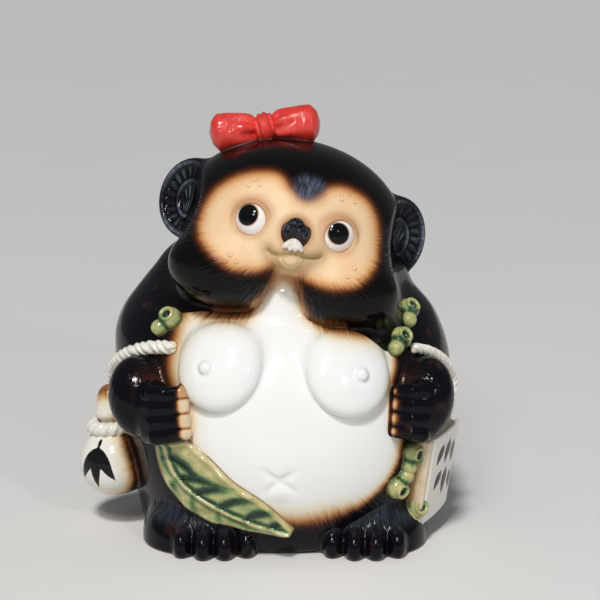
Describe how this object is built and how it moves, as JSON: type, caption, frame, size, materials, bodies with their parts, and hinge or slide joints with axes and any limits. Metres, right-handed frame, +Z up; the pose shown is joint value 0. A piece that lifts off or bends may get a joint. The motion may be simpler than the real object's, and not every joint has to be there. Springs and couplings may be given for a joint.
{
  "type": "seated tanuki ornament",
  "caption": "Hollow glazed stoneware raccoon dog seated with a bow, flask, account book, leaf and gourds; stands free on a flat base.",
  "frame": {"origin": "centre of the base, on the surface that the ornament stands on", "axes": "+Z up through the crown, -Y the way the face looks, +X to the viewer's right as the face is seen"},
  "size_m": [0.1898, 0.1669, 0.211],
  "materials": {
    "body_glaze": "glossy black glaze, brown where it thins",
    "face_glaze": "satin tan underglaze under clear glaze",
    "eye_glaze": "glossy white with a painted black pupil",
    "white_glaze": "glossy white glaze with brown airbrushed edges",
    "green_glaze": "glossy green glaze pooled dark in the hollows",
    "red_glaze": "glossy red overglaze enamel",
    "bare_clay": "unglazed fired clay"
  },
  "bodies": {
    "root": {"arm_left": "body_glaze", "arm_right": "body_glaze", "body_back_shell": "body_glaze", "body_front_shell": "body_glaze", "book_cover": "white_glaze", "book_pages": "white_glaze", "book_rope": "white_glaze", "bow_knot": "red_glaze", "bow_loop_left": "red_glaze", "bow_loop_right": "red_glaze", "ear_left": "body_glaze", "ear_right": "body_glaze", "eye_left": "eye_glaze", "eye_right": "eye_glaze", "flask": "white_glaze", "flask_collar": "white_glaze", "flask_rope": "white_glaze", "flask_stopper": "white_glaze", "floor_slab": "bare_clay", "foot_left": "body_glaze", "foot_right": "body_glaze", "gourd_1": "green_glaze", "gourd_2": "green_glaze", "gourd_3": "green_glaze", "gourd_4": "green_glaze", "gourd_5": "green_glaze", "gourd_6": "green_glaze", "head_back_shell": "body_glaze", "head_front_shell": "face_glaze", "leaf": "green_glaze", "lower_lip": "face_glaze", "muzzle": "face_glaze", "nose": "body_glaze", "paw_left": "body_glaze", "paw_right": "body_glaze", "tail": "body_glaze", "teeth": "white_glaze"}
  },
  "joints": []
}
